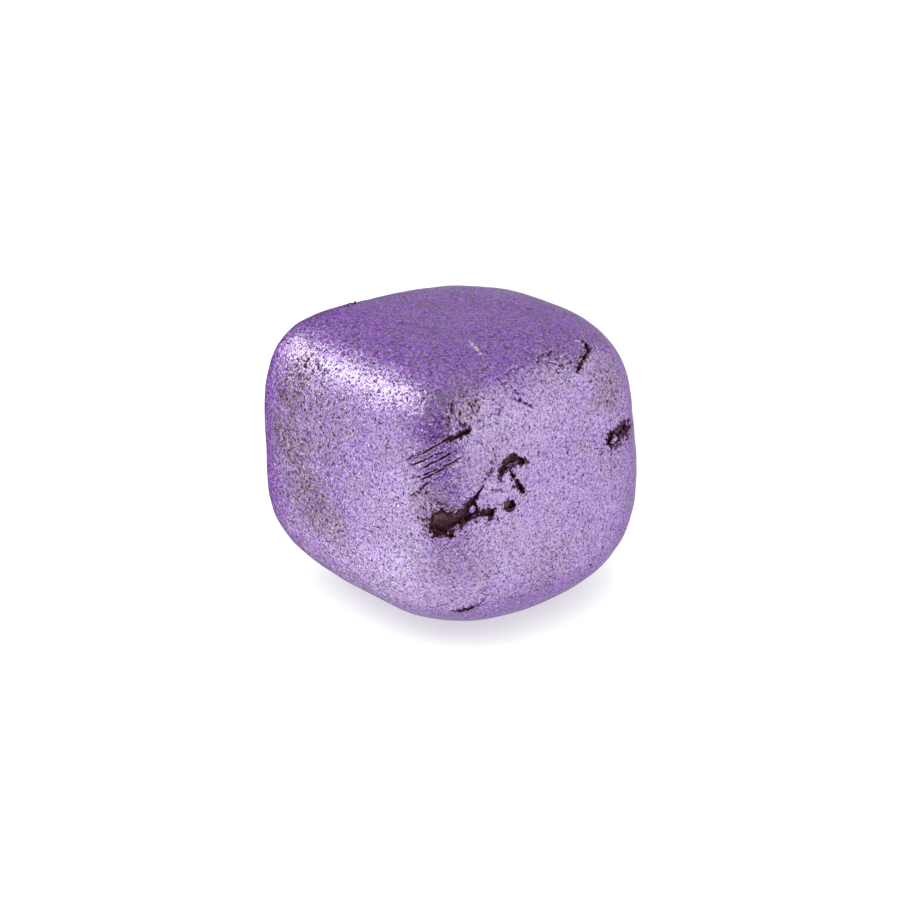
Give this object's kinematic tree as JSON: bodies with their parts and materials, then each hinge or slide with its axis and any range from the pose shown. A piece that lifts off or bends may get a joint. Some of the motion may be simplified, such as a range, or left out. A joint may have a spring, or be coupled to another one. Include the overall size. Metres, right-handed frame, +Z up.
{
  "type": "rosin cake",
  "caption": "Hand-pressed, well-rounded near-cube rosin cake with a plum core and a thin violet lustre skin that is chipped, cracked and scratched.",
  "frame": {"origin": "on the table under the middle of the cake's bounding box", "axes": "+Z up, the front face looks along -Y, the right face along +X; Y is the longest side and Z the shortest"},
  "size_m": [0.0408, 0.0442, 0.0384],
  "materials": {
    "compound": "dull plum compound, broken faces",
    "lustre": "metallic violet mica lustre with a fine grain"
  },
  "bodies": {
    "root": {"compound_core": "compound", "lustre_skin": "lustre", "skin_tongue": "lustre", "hook_lip": "lustre", "edge_islet": "lustre", "crest_flake": "lustre"}
  },
  "joints": []
}
